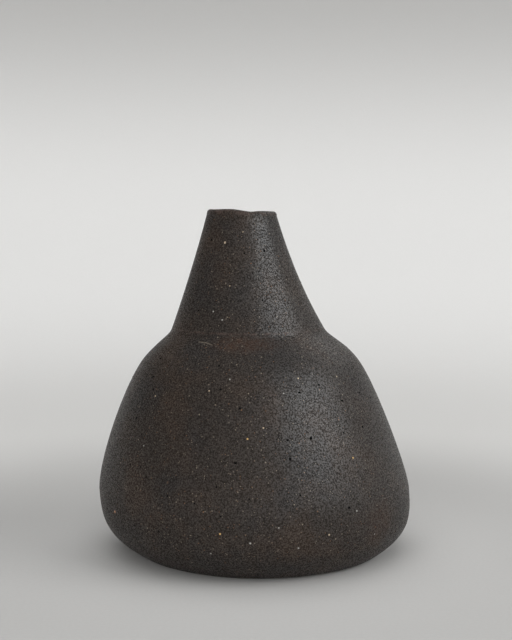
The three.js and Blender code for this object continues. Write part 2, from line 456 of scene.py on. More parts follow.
@dataclass
class Shell:
    """One piece of the pot, spun from its own closed outline."""

    name: str
    node: str
    slot: Slot
    form: Form
    steps: int = 512
    worked: float = 1.0
    outer_share: float = 0.84
    skin: "Skin | None" = None

    def outer_line(self) -> list[Vector]:
        """The stretch of outline that shows, from its lower end to its upper end."""
        raise NotImplementedError

    def back_line(self) -> list[Vector]:
        """The rest of the outline, from where the outer line ends back to where it starts."""
        raise NotImplementedError

    def build(self) -> bpy.types.Object:
        """Spins the outline, works it by hand and gives it a bake layout.

        Returns:
            The finished object, at the origin.
        """
        outer, back = self.outer_line(), self.back_line()
        line = outer + back
        mesh = bpy.data.meshes.new(self.name)
        spun = spin(line, COARSE_STEPS, closed=line[0].x > SAME, weld=1e-6)
        bmesh.ops.subdivide_edges(
            spun, edges=[e for e in spun.edges if runs_round(e)], cuts=self.steps // COARSE_STEPS - 1,
            use_grid_fill=True,
        )
        bmesh.ops.recalc_face_normals(spun, faces=spun.faces)
        spun.to_mesh(mesh)
        spun.free()
        co = rounded(points_of(mesh))
        mesh.vertices.foreach_set("co", co.ravel())
        self._mark_wear(mesh, line, self._lay_out(mesh, line, len(outer)))
        mesh.vertices.foreach_set("co", self.form.shaped(co, self.worked).ravel())
        mesh.update()
        self.carve(mesh)
        mesh.shade_smooth()
        mesh.set_sharp_from_angle(angle=math.radians(SHARP_EDGE))
        piece = placed(self.name, mesh)
        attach(piece, ROOT)
        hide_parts(self.node)
        return piece

    def carve(self, mesh: bpy.types.Mesh) -> None:
        """Works the piece's own skin into the finished surface, where it has one."""
        if self.skin:
            self.skin.work(mesh)

    def _lay_out(self, mesh: bpy.types.Mesh, line: Sequence[Vector], outer_count: int) -> np.ndarray:
        """Lays the shell out for baking as a front and a back half, with most of the room for the outside.

        Args:
            mesh: The spun shell, still true to the axis.
            line: The outline that it was spun from.
            outer_count: How many of the outline's points are on the outside.

        Returns:
            For each of the mesh's points, the number of the outline's point that it comes from.
        """
        spots = as_rows(line)
        run = run_along(np.vstack([spots, spots[:1]]))
        split = run[outer_count - 1]
        rise = np.interp(run, [0.0, split, run[-1]], [0.0, self.outer_share, 1.0])
        co = points_of(mesh)
        angle = np.arctan2(co[:, 1], co[:, 0])
        index = nearest_rows(np.stack([np.hypot(co[:, 0], co[:, 1]), co[:, 2]], axis=1), spots)
        layer = mesh.uv_layers.new(name="OFBake")
        loop_vert = np.zeros(len(mesh.loops), np.int32)
        mesh.loops.foreach_get("vertex_index", loop_vert)
        starts = np.array([p.loop_start for p in mesh.polygons])
        totals = np.array([p.loop_total for p in mesh.polygons])
        face_of = np.repeat(np.arange(len(starts)), totals)
        centre = np.add.reduceat(co[loop_vert, 1], starts) / totals
        middle = np.add.reduceat(co[loop_vert, 0], starts) / totals
        back_half = (centre > 0)[face_of]
        turn = angle[loop_vert]
        turn = np.where(back_half & (turn < -math.pi / 2), turn + 2 * math.pi, turn)
        turn = np.where(~back_half & (turn > math.pi / 2), turn - 2 * math.pi, turn)
        on_axis = np.hypot(co[loop_vert, 0], co[loop_vert, 1]) < SAME
        turn = np.where(on_axis, np.arctan2(centre, middle)[face_of], turn)
        across = np.where(back_half, turn, turn + math.pi) / math.pi
        where = index[loop_vert]
        low = np.minimum.reduceat(where, starts)[face_of]
        high = np.maximum.reduceat(where, starts)[face_of]
        wraps = (high - low > len(line) // 2) & (where == 0)
        up = np.where(wraps, 1.0, rise[where])
        base = np.where(back_half, 0.5 + UV_MARGIN, UV_MARGIN)
        uv = np.stack([UV_MARGIN + (1 - 2 * UV_MARGIN) * across, base + UV_RISE * up], axis=1)
        layer.data.foreach_set("uv", uv.astype(np.float32).ravel())
        return index

    def _mark_wear(self, mesh: bpy.types.Mesh, line: Sequence[Vector], rows: np.ndarray) -> None:
        """Notes how sharply the outline turns at each point, for rubbed edges, and leaves the marks blank."""
        spots = as_rows(line)
        before, after = spots - np.roll(spots, 1, axis=0), np.roll(spots, -1, axis=0) - spots
        cross = before[:, 0] * after[:, 1] - before[:, 1] * after[:, 0]
        bend = np.arctan2(cross, (before * after).sum(axis=1))
        length = np.maximum(np.linalg.norm(before, axis=1) + np.linalg.norm(after, axis=1), 0.8 * MM)
        worn = np.clip((2 * bend / length * MM - 0.12) / 0.4, 0, 1)
        count = len(mesh.vertices)
        for name, kind, values in (
            ("worn", "FLOAT", worn[rows]),
            ("pit", "FLOAT", np.zeros(count)),
            ("grain", "FLOAT_COLOR", np.zeros(4 * count)),
        ):
            layer = mesh.attributes.new(name, kind, "POINT")
            layer.data.foreach_set("value" if kind == "FLOAT" else "color", values.astype(np.float32))


def spin(line: Sequence[Vector], steps: int, closed: bool, weld: float) -> bmesh.types.BMesh:
    """Spins an outline once round the axis.

    Args:
        line: The outline's points, as radius and height.
        steps: Steps round the axis.
        closed: Whether the last point runs back to the first.
        weld: Points closer together than this become one.

    Returns:
        The spun surface, with its normals still to be set.
    """
    spun = bmesh.new()
    verts = [spun.verts.new((p.x, 0.0, p.y)) for p in line]
    edges = [spun.edges.new(pair) for pair in zip(verts, verts[1:])]
    if closed:
        edges.append(spun.edges.new((verts[-1], verts[0])))
    bmesh.ops.spin(
        spun, geom=verts + edges, cent=(0, 0, 0), axis=(0, 0, 1), angle=2 * math.pi, steps=steps,
        use_merge=True,
    )
    bmesh.ops.remove_doubles(spun, verts=spun.verts, dist=weld)
    return spun


def placed(name: str, data: bpy.types.ID) -> bpy.types.Object:
    """A new object in the scene."""
    made = bpy.data.objects.new(name, data)
    bpy.context.scene.collection.objects.link(made)
    return made


def runs_round(edge: bmesh.types.BMEdge) -> bool:
    """Whether an edge of a spun shell runs round the axis and not along the outline."""
    start, end = (v.co for v in edge.verts)
    return abs(start.z - end.z) < SAME and abs(start.xy.length - end.xy.length) < 1e-6


def rounded(co: np.ndarray) -> np.ndarray:
    """Lifts points that lie on the straight chords of a coarse spin out to the circle."""
    part = 2 * math.pi / COARSE_STEPS
    turn = np.arctan2(co[:, 1], co[:, 0])
    off = np.mod(turn, part) - part / 2
    grow = np.cos(off) / math.cos(part / 2)
    return np.stack([co[:, 0] * grow, co[:, 1] * grow, co[:, 2]], axis=1)


def points_of(mesh: bpy.types.Mesh) -> np.ndarray:
    """The mesh's points, one a row."""
    co = np.zeros(len(mesh.vertices) * 3, np.float32)
    mesh.vertices.foreach_get("co", co)
    return co.reshape(-1, 3).astype(float)


def nearest_rows(points: np.ndarray, rows: np.ndarray, batch: int = 8192) -> np.ndarray:
    """For each point, the index of the nearest row."""
    found = [
        np.argmin(((points[i:i + batch, None, :] - rows[None]) ** 2).sum(axis=2), axis=1)
        for i in range(0, len(points), batch)
    ]
    return np.concatenate(found)


# ---------------------------------------------------------------------------------------------------------
# Pits and grog that break the skin
# ---------------------------------------------------------------------------------------------------------


@dataclass(frozen=True)
class Pit:
    """A pinhole or a place where a grain fell out, by angle in degrees and height, width and depth in mm."""

    degrees: float
    height: float
    width: float
    depth: float


@dataclass(frozen=True)
class Grain:
    """A grain of grog that shows at the skin, by angle in degrees and height and width in mm."""

    degrees: float
    height: float
    width: float
    tone: Tone


@dataclass(frozen=True)
class Scatter:
    """How thickly pits and grains lie on one piece, apart from the listed ones."""

    low: float
    high: float
    pits: int
    grains: int
    seed: int

    def pits_here(self) -> list[Pit]:
        """Draws the scattered pits."""
        draw = random.Random(self.seed)
        return [
            Pit(draw.uniform(-180, 180), self._level(draw), draw.uniform(0.55, 1.1), draw.uniform(0.3, 0.6))
            for _ in range(self.pits)
        ]

    def grains_here(self) -> list[Grain]:
        """Draws the scattered grains."""
        draw = random.Random(self.seed + 1)
        tones = (Tone.DIM, Tone.DIM, Tone.DIM, Tone.DULL, Tone.DULL, Tone.CHALK, Tone.CREAM)
        return [
            Grain(draw.uniform(-180, 180), self._level(draw), draw.uniform(0.4, 0.75), draw.choice(tones))
            for _ in range(self.grains)
        ]

    def _level(self, draw: random.Random) -> float:
        """A height between the scatter's two ends."""
        return draw.uniform(self.low, self.high)


@dataclass
class Skin:
    """Breaks a shell's outer skin with pits and grains, which the clay finish reads as attributes, painting
    shade into the pits.
    """

    form: Form
    pits: Sequence[Pit]
    grains: Sequence[Grain]
    rise: float = 0.12 * MM

    def work(self, mesh: bpy.types.Mesh) -> None:
        """Cuts the pits and raises the grains.

        Args:
            mesh: The finished shell, changed in place.
        """
        clay = bmesh.new()
        clay.from_mesh(mesh)
        marks = self._patches(clay)
        patches = [patch for _, patch in marks]
        bmesh.ops.inset_individual(clay, faces=patches, thickness=0.05 * MM)
        bmesh.ops.bisect_edges(clay, edges=list({e for p in patches for e in p.edges}), cuts=1)
        for mark, patch in marks:
            middle = patch.calc_center_median()
            radius = min(0.5 * mark.width * MM, 0.44 * math.sqrt(patch.calc_area()))
            for vert in patch.verts:
                vert.co = middle + (vert.co - middle).normalized() * radius
        bmesh.ops.inset_individual(clay, faces=patches, thickness=0.03 * MM)
        pit_layer = clay.verts.layers.float["pit"]
        grain_layer = clay.verts.layers.float_color["grain"]
        for mark, patch in marks:
            middle = patch.calc_center_median()
            deep = -mark.depth * MM if isinstance(mark, Pit) else self.rise
            for vert in patch.verts:
                vert.co = middle + 0.75 * (vert.co - middle) + patch.normal * deep
            for vert in {v for e in patch.edges for f in e.link_faces for v in f.verts}:
                if isinstance(mark, Pit):
                    vert[pit_layer] = 1.0
                else:
                    vert[grain_layer] = (*mark.tone.value, 1.0)
        clay.normal_update()
        clay.to_mesh(mesh)
        clay.free()

    def _patches(self, clay: bmesh.types.BMesh) -> list[tuple[Pit | Grain, bmesh.types.BMFace]]:
        """Frees one patch of the skin for each mark, and leaves out a mark that has no room of its own."""
        clay.faces.ensure_lookup_table()
        faces = list(clay.faces)
        tree = KDTree(len(faces))
        for face in faces:
            tree.insert(face.calc_center_median(), face.index)
        tree.balance()
        used: set[int] = set()
        lone, joined, melted = [], [], []
        for mark in (*self.pits, *self.grains):
            place, normal = self.form.spot(mark.degrees, mark.height * MM)
            near = [i for _, i, _ in tree.find_range(place, 0.62 * mark.width * MM)] or [tree.find(place)[1]]
            ring = {f.index for i in near for v in faces[i].verts for f in v.link_faces}
            if ring & used or any(faces[i].normal.dot(normal) < 0.5 for i in near):
                continue
            used |= ring
            if len(near) > 1:
                joined.append((mark, place))
                melted.extend(faces[i] for i in near)
            else:
                lone.append((mark, faces[near[0]]))
        fresh = bmesh.ops.dissolve_faces(clay, faces=melted, use_verts=True)["region"]
        finder = KDTree(len(fresh))
        for index, face in enumerate(fresh):
            finder.insert(face.calc_center_median(), index)
        finder.balance()
        return lone + [(mark, fresh[finder.find(place)[1]]) for mark, place in joined]


# ---------------------------------------------------------------------------------------------------------
# Finishes
# ---------------------------------------------------------------------------------------------------------


@dataclass
class Graph:
    """Lays nodes in a tree and links them in one call each."""

    tree: bpy.types.NodeTree

    def add(self, kind: str, inputs: dict | None = None, **settings) -> bpy.types.Node:
        """Adds a node.

        Args:
            kind: The node's type name without its ShaderNode start.
            inputs: Value or output socket for each input, by name or number.
            settings: The node's own settings.

        Returns:
            The node.
        """
        node = self.tree.nodes.new(("" if kind.startswith("Node") else "ShaderNode") + kind)
        for key, value in settings.items():
            setattr(node, key, value)
        self.feed(node, inputs or {})
        return node

    def feed(self, node: bpy.types.Node, inputs: dict) -> None:
        """Links each output given to its input, and sets each value given."""
        for key, value in inputs.items():
            if isinstance(value, bpy.types.NodeSocket):
                self.tree.links.new(value, node.inputs[key])
            else:
                node.inputs[key].default_value = value

    def math(self, operation: str, *values) -> bpy.types.NodeSocket:
        """A Math node's result."""
        return self.add("Math", dict(enumerate(values)), operation=operation).outputs[0]

    def vector(self, operation: str, *values) -> bpy.types.Node:
        """A Vector Math node."""
        return self.add("VectorMath", dict(enumerate(values)), operation=operation)

    def scaled(self, vector, factor) -> bpy.types.NodeSocket:
        """A vector or a colour times a number."""
        return self.add("VectorMath", {0: vector, "Scale": factor}, operation="SCALE").outputs[0]

    def ramp(self, value, low: float, high, to_low: float = 0.0, to_high: float = 1.0):
        """A value eased from one range to another, held past both ends."""
        sockets = {"Value": value, "From Min": low, "From Max": high, "To Min": to_low, "To Max": to_high}
        return self.add("MapRange", sockets, interpolation_type="SMOOTHSTEP").outputs[0]

    def blend(self, share, start, end) -> bpy.types.NodeSocket:
        """A colour between two."""
        ends = [v if isinstance(v, bpy.types.NodeSocket) else (*v[:3], 1.0) for v in (start, end)]
        return self.add("Mix", {"Factor": share, 6: ends[0], 7: ends[1]}, data_type="RGBA").outputs[2]

    def scale_of(self, size) -> bpy.types.NodeSocket | float:
        """The texture scale for features of about this size, which is a length or a socket that gives one."""
        return self.math("DIVIDE", 1.0, size) if isinstance(size, bpy.types.NodeSocket) else 1 / size

    def noise(self, place, size, detail: float = 2.0, roughness: float = 0.5) -> bpy.types.NodeSocket:
        """Noise whose blotches are about this size."""
        sockets = {"Vector": place, "Scale": self.scale_of(size), "Detail": detail, "Roughness": roughness}
        return self.add("TexNoise", sockets).outputs["Fac"]

    def cells(self, place, size) -> tuple[bpy.types.NodeSocket, Sequence[bpy.types.NodeSocket]]:
        """Cells of about this size: the distance to the nearest centre, and each cell's own three numbers."""
        found = self.add("TexVoronoi", {"Vector": place, "Scale": self.scale_of(size), "Randomness": 1.0})
        own = self.add("SeparateColor", {"Color": found.outputs["Color"]})
        return found.outputs["Distance"], own.outputs


class Socket(Enum):
    """Kinds of node group socket."""

    VALUE = "NodeSocketFloat"
    COLOUR = "NodeSocketColor"
    VECTOR = "NodeSocketVector"


def make_group(
    name: str, takes: dict[str, tuple], gives: dict[str, Socket]
) -> tuple[Graph, dict, bpy.types.Node]:
    """Starts a node group.

    Args:
        name: The group's name.
        takes: Kind and starting value of each input.
        gives: Kind of each output.

    Returns:
        The group's graph, its inputs' sockets by name, and the node that takes its outputs.
    """
    tree = bpy.data.node_groups.new(name, "ShaderNodeTree")
    for label, (kind, value) in takes.items():
        socket = tree.interface.new_socket(label, in_out="INPUT", socket_type=kind.value)
        if value is not None:
            socket.default_value = value
    for label, kind in gives.items():
        tree.interface.new_socket(label, in_out="OUTPUT", socket_type=kind.value)
    graph = Graph(tree)
    start = graph.add("NodeGroupInput")
    return graph, {s.name: s for s in start.outputs if s.name}, graph.add("NodeGroupOutput")


def finish_group(graph: Graph, end: bpy.types.Node, **results: bpy.types.NodeSocket) -> bpy.types.NodeTree:
    """Links a group's results to its outputs, by name."""
    for label, socket in results.items():
        graph.tree.links.new(socket, end.inputs[label])
    return graph.tree


def grain_group() -> bpy.types.NodeTree:
    """Sandy tooth of bare clay: gives its height and how deep in a pore a point lies."""
    takes = {
        "Place": (Socket.VECTOR, None),
        "Tooth": (Socket.VALUE, 0.6 * MM),
        "Pore": (Socket.VALUE, 1.3 * MM),
        "Pore Width": (Socket.VALUE, 0.3),
    }
    g, given, end = make_group("Sandy tooth", takes, {"Height": Socket.VALUE, "Pores": Socket.VALUE})
    tooth = g.noise(given["Place"], given["Tooth"], 3.0, 0.62)
    distance, own = g.cells(given["Place"], given["Pore"])
    deep = g.ramp(distance, 0.0, given["Pore Width"], 1.0, 0.0)
    pores = g.math("MULTIPLY", deep, g.ramp(own[0], 0.35, 0.75))
    height = g.math("SUBTRACT", tooth, g.math("MULTIPLY", pores, 0.6))
    return finish_group(g, end, Height=height, Pores=pores)


def grog_group() -> bpy.types.NodeTree:
    """Fine grog at the skin: gives a mask of the specks and a number from 0 to 1 for each speck's tone."""
    takes = {
        "Place": (Socket.VECTOR, None),
        "Spacing": (Socket.VALUE, 2.4 * MM),
        "Size": (Socket.VALUE, 0.13),
        "Share": (Socket.VALUE, 0.4),
    }
    g, given, end = make_group("Fine grog", takes, {"Specks": Socket.VALUE, "Tone": Socket.VALUE})
    distance, own = g.cells(given["Place"], given["Spacing"])
    radius = g.math("MULTIPLY", given["Size"], g.ramp(own[1], 0.0, 1.0, 0.5, 1.0))
    near = g.math("LESS_THAN", distance, radius)
    kept = g.math("LESS_THAN", own[0], given["Share"])
    return finish_group(g, end, Specks=g.math("MULTIPLY", near, kept), Tone=own[2])


def mottle_group() -> bpy.types.NodeTree:
    """Slow change of tone over a fired pot: gives warm patches and smoky ones."""
    takes = {"Place": (Socket.VECTOR, None), "Patch": (Socket.VALUE, 26 * MM)}
    g, given, end = make_group("Kiln mottle", takes, {"Warm": Socket.VALUE, "Smoke": Socket.VALUE})
    broad = g.noise(given["Place"], given["Patch"], 3.0, 0.55)
    moved = g.vector("ADD", given["Place"], (0.31, 0.17, 0.53)).outputs[0]
    other = g.noise(moved, given["Patch"], 4.0, 0.6)
    return finish_group(g, end, Warm=g.ramp(broad, 0.4, 0.68), Smoke=g.ramp(other, 0.42, 0.7))


def flash_group() -> bpy.types.NodeTree:
    """A rusty flash left by the fire: a soft patch round a centre, broken up by a fine noise."""
    takes = {
        "Place": (Socket.VECTOR, None),
        "Centre": (Socket.VECTOR, None),
        "Reach": (Socket.VECTOR, None),
    }
    g, given, end = make_group("Rusty flash", takes, {"Flash": Socket.VALUE})
    away = g.vector("SUBTRACT", given["Place"], given["Centre"]).outputs[0]
    share = g.vector("LENGTH", g.vector("DIVIDE", away, given["Reach"]).outputs[0]).outputs[1]
    broken = g.ramp(g.noise(given["Place"], 2.2 * MM, 3.0), 0.3, 0.7, 0.35, 1.0)
    return finish_group(g, end, Flash=g.math("MULTIPLY", g.ramp(share, 0.15, 1.0, 1.0, 0.0), broken))


def scratch_group() -> bpy.types.NodeTree:
    """A dragged grain's pale line between two points."""
    takes = {
        "Place": (Socket.VECTOR, None),
        "Start": (Socket.VECTOR, None),
        "End": (Socket.VECTOR, None),
        "Width": (Socket.VALUE, 0.4 * MM),
    }
    g, given, end = make_group("Dragged grain", takes, {"Line": Socket.VALUE})
    way = g.vector("SUBTRACT", given["End"], given["Start"]).outputs[0]
    off = g.vector("SUBTRACT", given["Place"], given["Start"]).outputs[0]
    shared, whole = (g.vector("DOT_PRODUCT", v, way).outputs[1] for v in (off, way))
    along = g.math("DIVIDE", shared, whole)
    held = g.ramp(along, 0.0, 1.0)
    held.node.interpolation_type = "LINEAR"
    gap = g.vector("LENGTH", g.vector("SUBTRACT", off, g.scaled(way, held)).outputs[0]).outputs[1]
    ratio = g.math("DIVIDE", gap, given["Width"])
    return finish_group(g, end, Line=g.ramp(ratio, 0.35, 1.0, 1.0, 0.0))


class Effects:
    """The node groups that more than one finish uses, built once."""

    def __init__(self) -> None:
        """Builds every group."""
        self.grain = grain_group()
        self.grog = grog_group()
        self.mottle = mottle_group()
        self.flash = flash_group()
        self.scratch = scratch_group()

    @staticmethod
    def place(graph: Graph, group: bpy.types.NodeTree, **inputs) -> bpy.types.Node:
        """Puts a group in a material, with underscores in the names read as spaces."""
        return graph.add("Group", {k.replace("_", " "): v for k, v in inputs.items()}, node_tree=group)


def start_material(name: str) -> tuple[Graph, bpy.types.Node, bpy.types.NodeSocket, bpy.types.Material]:
    """Starts a material with its shader in place.

    Args:
        name: The material's name.

    Returns:
        Its graph, its shader node, its Object coordinates and itself.
    """
    material = bpy.data.materials.new(name)
    material.use_nodes = True
    graph = Graph(material.node_tree)
    shader = material.node_tree.nodes["Principled BSDF"]
    place = graph.add("TexCoord").outputs["Object"]
    return graph, shader, place, material


@dataclass(frozen=True)
class FlashSpot:
    """Where a rusty flash lies, in mm from the origin, and how far it reaches each way."""

    centre: tuple[float, float, float]
    reach: tuple[float, float, float]
    strength: float


@dataclass(frozen=True)
class BareClay:
    """Dark stoneware left bare: near black, a little brown, with a sandy tooth and fine pale grog."""

    name: str = "Bare dark stoneware"
    dark: tuple[float, float, float] = (0.0255, 0.0205, 0.0175)
    warm: tuple[float, float, float] = (0.0340, 0.0245, 0.0190)
    smoke: tuple[float, float, float] = (0.0210, 0.0190, 0.0185)
    rust: tuple[float, float, float] = (0.060, 0.030, 0.018)
    rubbed: tuple[float, float, float] = (0.060, 0.042, 0.036)
    pale_grog: tuple[float, float, float] = (0.20, 0.17, 0.135)
    warm_grog: tuple[float, float, float] = (0.16, 0.085, 0.045)
    roughness: float = 0.70
    sheen_low: float = 0.0
    sheen_high: float = 1.0
    tooth: float = 0.75 * MM
    bump: float = 0.8
    bump_depth: float = 0.2 * MM
    flashes: tuple[FlashSpot, ...] = ()
    scratches: tuple[tuple[tuple[float, float, float], tuple[float, float, float]], ...] = ()

    def material(self, effects: Effects) -> bpy.types.Material:
        """Builds the finish.

        Args:
            effects: The shared node groups.

        Returns:
            The material.
        """
        g, shader, place, material = start_material(self.name)
        mottle = effects.place(g, effects.mottle, Place=place)
        colour = g.blend(mottle.outputs["Warm"], self.dark, self.warm)
        colour = g.blend(g.math("MULTIPLY", mottle.outputs["Smoke"], 0.7), colour, self.smoke)
        sand = g.noise(place, 0.70 * MM, 2.0, 0.7)
        lift = g.ramp(sand, 0.34, 0.70, 0.55, 1.65)
        colour = g.scaled(colour, lift)
        for spot in self.flashes:
            flash = effects.place(
                g, effects.flash, Place=place, Centre=tuple(v * MM for v in spot.centre),
                Reach=tuple(v * MM for v in spot.reach),
            )
            colour = g.blend(g.math("MULTIPLY", flash.outputs["Flash"], spot.strength), colour, self.rust)
        worn = g.add("Attribute", attribute_name="worn", attribute_type="GEOMETRY").outputs["Fac"]
        worn = g.math("MULTIPLY", worn, g.ramp(g.noise(place, 3.0 * MM, 3.0), 0.35, 0.65))
        colour = g.blend(worn, colour, self.rubbed)
        for spacing, size, share, strength in ((1.3, 0.20, 0.50, 0.75), (2.9, 0.11, 0.8, 1.0)):
            specks = effects.place(g, effects.grog, Place=place, Spacing=spacing * MM, Size=size, Share=share)
            tone = g.blend(g.ramp(specks.outputs["Tone"], 0.55, 0.75), self.pale_grog, self.warm_grog)
            colour = g.blend(g.math("MULTIPLY", specks.outputs["Specks"], strength), colour, tone)
        for start, end in self.scratches:
            line = effects.place(
                g, effects.scratch, Place=place, Start=tuple(v * MM for v in start),
                End=tuple(v * MM for v in end), Width=0.45 * MM,
            )
            colour = g.blend(g.math("MULTIPLY", line.outputs["Line"], 0.45), colour, self.pale_grog)
        tooth = effects.place(g, effects.grain, Place=place, Tooth=self.tooth, Pore=1.25 * MM)
        # painted shade: the sandy tooth's pores are darkened towards black, as the shade inside them
        colour = g.blend(g.math("MULTIPLY", tooth.outputs["Pores"], 0.75), colour, (0.006, 0.005, 0.005))
        grain = g.add("Attribute", attribute_name="grain", attribute_type="GEOMETRY")
        colour = g.blend(grain.outputs["Alpha"], colour, grain.outputs["Color"])
        pit = g.add("Attribute", attribute_name="pit", attribute_type="GEOMETRY").outputs["Fac"]
        # painted shade: each pit's faces are darkened to near black, as the shade inside the hole
        colour = g.blend(pit, colour, (0.003, 0.003, 0.003))
        rough = g.ramp(sand, 0.25, 0.75, self.roughness - 0.06, self.roughness + 0.10)
        rough = g.math("ADD", rough, g.math("MULTIPLY", tooth.outputs["Pores"], 0.3))
        rough = g.math("ADD", rough, g.math("MULTIPLY", pit, 0.3))
        sheen = g.ramp(g.noise(place, 0.7 * MM, 2.0, 0.7), 0.42, 0.58, self.sheen_low, self.sheen_high)
        covered = g.math("MAXIMUM", g.math("MAXIMUM", pit, tooth.outputs["Pores"]), grain.outputs["Alpha"])
        sheen = g.math("MULTIPLY", sheen, g.math("SUBTRACT", 1.0, covered))
        bump = g.add(
            "Bump", {"Height": tooth.outputs["Height"], "Strength": self.bump, "Distance": self.bump_depth}
        )
        g.feed(shader, {
            "Base Color": colour, "Roughness": rough, "Coat Weight": sheen, "Normal": bump.outputs[0],
            "Specular IOR Level": 0.1, "Coat Roughness": 0.40, "Coat IOR": 1.32,
        })
        return material


@dataclass(frozen=True)
class WetGlaze:
    """Brown-black liner glaze: glossy, pooled a little darker in places, with fine pinholes whose shade is
    painted near black.
    """

    name: str = "Brown-black liner glaze"
    body: tuple[float, float, float] = (0.010, 0.0075, 0.006)
    thin: tuple[float, float, float] = (0.030, 0.017, 0.010)
    roughness: float = 0.12

    def material(self, effects: Effects) -> bpy.types.Material:
        """Builds the finish from the shared node groups."""
        g, shader, place, material = start_material(self.name)
        mottle = effects.place(g, effects.mottle, Place=place, Patch=9 * MM)
        colour = g.blend(mottle.outputs["Warm"], self.body, self.thin)
        tooth = effects.place(g, effects.grain, Place=place, Tooth=2.5 * MM, Pore=5 * MM, Pore_Width=0.08)
        # painted shade: the glaze's pinholes are darkened to near black, as the shade inside them
        colour = g.blend(tooth.outputs["Pores"], colour, (0.003, 0.003, 0.003))
        rough = g.ramp(mottle.outputs["Smoke"], 0.0, 1.0, self.roughness, self.roughness + 0.1)
        bump = g.add("Bump", {"Height": tooth.outputs["Height"], "Strength": 0.3, "Distance": 0.1 * MM})
        g.feed(shader, {
            "Base Color": colour, "Roughness": rough, "Normal": bump.outputs[0], "Coat Weight": 0.6,
            "Coat Roughness": 0.06,
        })
        return material


# ---------------------------------------------------------------------------------------------------------
# Pieces
# ---------------------------------------------------------------------------------------------------------


@dataclass
class BaseSlab(Shell):
    """Floor disc: turned underneath, trimmed at the edge, with a raised middle that the wall stands round."""

    ring_pitch: float = 3.4 * MM
    ring_depth: float = 0.22 * MM
    flat_from: float = 50.0 * MM

    def outer_line(self) -> list[Vector]:
        """From the middle of the underside out over the trimmed edge and up to the seat."""
        shape = self.form.outline
        under = evenly([Vector((0, 0)), Vector((shape.foot_radius, 0))], 0.8 * MM)
        edge = Vector((shape.foot_radius + shape.bevel_reach, shape.bevel_height))
        trimmed = evenly([under[-1], edge], 0.5 * MM)
        side = between(self.form.outside, shape.bevel_height, shape.seat_height)
        return [self._turned(p) for p in under] + trimmed[1:-1] + evenly(side, 0.8 * MM)

    def back_line(self) -> list[Vector]:
        """Across the seat, up the step and back over the floor to the middle."""
        shape = self.form.outline
        step = shape.seat_inner_radius(self.form.outside) - shape.lap_gap
        corners = [
            Vector((step, shape.seat_height)),
            Vector((step, shape.floor)),
            Vector((0, shape.floor)),
        ]
        return [corners[0]] + evenly(corners[1:], 4 * MM)

    def _turned(self, point: Vector) -> Vector:
        """Lifts the underside between the rings that the trimming tool leaves."""
        inner = min(1.0, max(0.0, (self.flat_from - point.x) / (4 * MM)))
        wave = 0.5 - 0.5 * math.cos(2 * math.pi * point.x / self.ring_pitch)
        return Vector((point.x, self.ring_depth * wave * inner))


@dataclass
class BodyWall(Shell):
    """Wall of the body, from the seat round the belly and the shoulder to the collar that takes the neck."""

    def outer_line(self) -> list[Vector]:
        """From the seat up to the crease."""
        shape = self.form.outline
        return evenly(between(self.form.outside, shape.seat_height, shape.crease_height), 0.98 * MM)

    def back_line(self) -> list[Vector]:
        """In over the collar, down its step and back down inside the wall."""
        shape = self.form.outline
        lap = [Vector((shape.lap_radius, shape.crease_height)), Vector((shape.lap_radius, shape.lap_floor))]
        lining = shape.body_lining(self.form.outside)
        return lap + evenly(lining[1:], 3.5 * MM)[::-1] + [lining[0]]


@dataclass
class NeckCone(Shell):
    """Tapering neck whose foot stands on the collar, with a tongue that laps inside it and a soft lip."""

    def outer_line(self) -> list[Vector]:
        """From the crease up the outside and over the lip."""
        shape = self.form.outline
        start = shape.height - shape.lip_round
        side = evenly(between(self.form.outside, shape.crease_height, start), 0.8 * MM)
        lining = shape.neck_lining(self.form.outside)
        return side + self._lip(side[-1].x, radius_at(lining, start), start)

    def back_line(self) -> list[Vector]:
        """Down the inside to the tongue, round it and back to the crease."""
        shape = self.form.outline
        lining = shape.neck_lining(self.form.outside)
        tongue = shape.lap_radius - shape.lap_gap
        foot = [Vector((tongue, shape.tongue_foot)), Vector((tongue, shape.crease_height))]
        return evenly(lining, 1.6 * MM)[-2::-1] + foot

    def _lip(self, outer: float, inner: float, start: float) -> list[Vector]:
        """The rounded top, from the outside over to the inside."""
        rounding = self.form.outline.lip_round
        over = []
        for step in range(1, 17):
            turn = math.pi * step / 16
            flat = (outer - inner) / 2
            over.append(Vector((
                (outer + inner) / 2 + math.copysign(abs(math.cos(turn)) ** 0.85, math.cos(turn)) * flat,
                start + rounding * math.sin(turn) ** 0.85,
            )))
        return over


@dataclass
class Coil(Shell):
    """A coil of soft clay pressed into a corner: its face is what shows, its back follows the wall."""

    at_neck: bool = False

    def outer_line(self) -> list[Vector]:
        """The pressed face, from its lower edge to its upper edge."""
        return evenly(self.form.outline.coil_lines(self.form.outside, self.at_neck)[1], 0.9 * MM)

    def back_line(self) -> list[Vector]:
        """The back, from the upper edge down the wall."""
        back = evenly(self.form.outline.coil_lines(self.form.outside, self.at_neck)[0], 1.4 * MM)
        return back[-2:0:-1]


